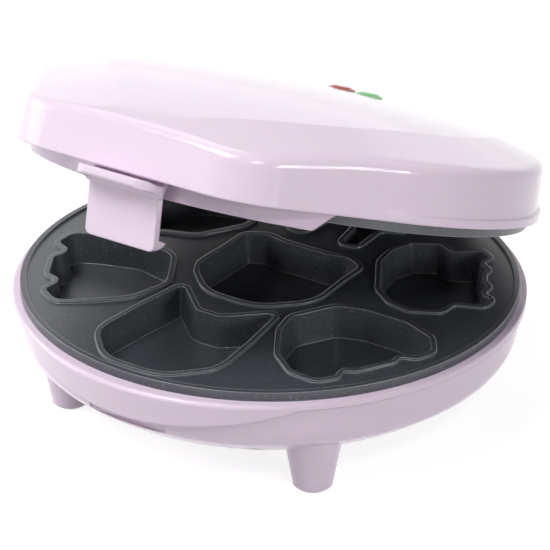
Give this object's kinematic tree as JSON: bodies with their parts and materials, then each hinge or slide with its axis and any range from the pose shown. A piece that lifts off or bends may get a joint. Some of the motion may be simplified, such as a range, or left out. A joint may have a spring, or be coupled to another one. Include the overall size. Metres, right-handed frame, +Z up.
{
  "type": "mini cupcake maker",
  "caption": "Round countertop cake maker with shaped moulds in two hot plates, a hinged crowned lid and a front latch.",
  "frame": {"origin": "on the surface that it stands on, below the centre of the part's box with the lid at rest, part open", "axes": "+Y towards the hinge at the rear, +Z up, +X to the right seen from the front"},
  "size_m": [0.2154, 0.2378, 0.1547],
  "materials": {
    "pink_plastic": "glossy pastel lilac-pink moulding",
    "non_stick_plate": "dark satin non-stick coating on cast aluminium",
    "steel": "plain zinc-plated steel",
    "heater_tube": "dull oxidised steel tube",
    "aluminised_steel": "bright aluminised sheet",
    "ceramic": "unglazed ceramic",
    "white_plastic": "heat-resistant moulding",
    "red_lens": "clear red lens",
    "green_lens": "clear green lens",
    "lamp_glass": "small glass lamps"
  },
  "bodies": {
    "base": {"base_shell": "pink_plastic", "lower_plate": "non_stick_plate", "lower_heating_element": "heater_tube", "lower_end_seals": "ceramic", "lower_terminal_pins": "steel", "lower_reflector": "aluminised_steel", "lower_plate_screws": "steel", "thermostat": "ceramic", "thermostat_screws": "steel", "terminal_block": "white_plastic", "cord_bush": "white_plastic", "hinge_pins": "steel"},
    "lid": {"upper_plate": "non_stick_plate", "lid_shell": "pink_plastic", "latch_pin": "steel", "upper_heating_element": "heater_tube", "upper_end_seals": "ceramic", "upper_terminal_pins": "steel", "upper_reflector": "aluminised_steel", "upper_plate_screws": "steel", "red_lens": "red_lens", "green_lens": "green_lens", "lamp_holder": "white_plastic", "neon_lamps": "lamp_glass", "thermal_fuse": "steel"},
    "latch": {"latch": "pink_plastic"}
  },
  "joints": [
    {"name": "lid_hinge", "type": "hinge", "parent": "base", "child": "lid", "pos_m": [0, 0.113, 0.0535], "axis": [-1, 0, 0], "range_deg": [-19.5, 80.5]},
    {"name": "latch_pivot", "type": "hinge", "parent": "lid", "child": "latch", "pos_m": [0, -0.10172, 0.14067], "axis": [-1, 0, 0], "range_deg": [0, 18]}
  ]
}
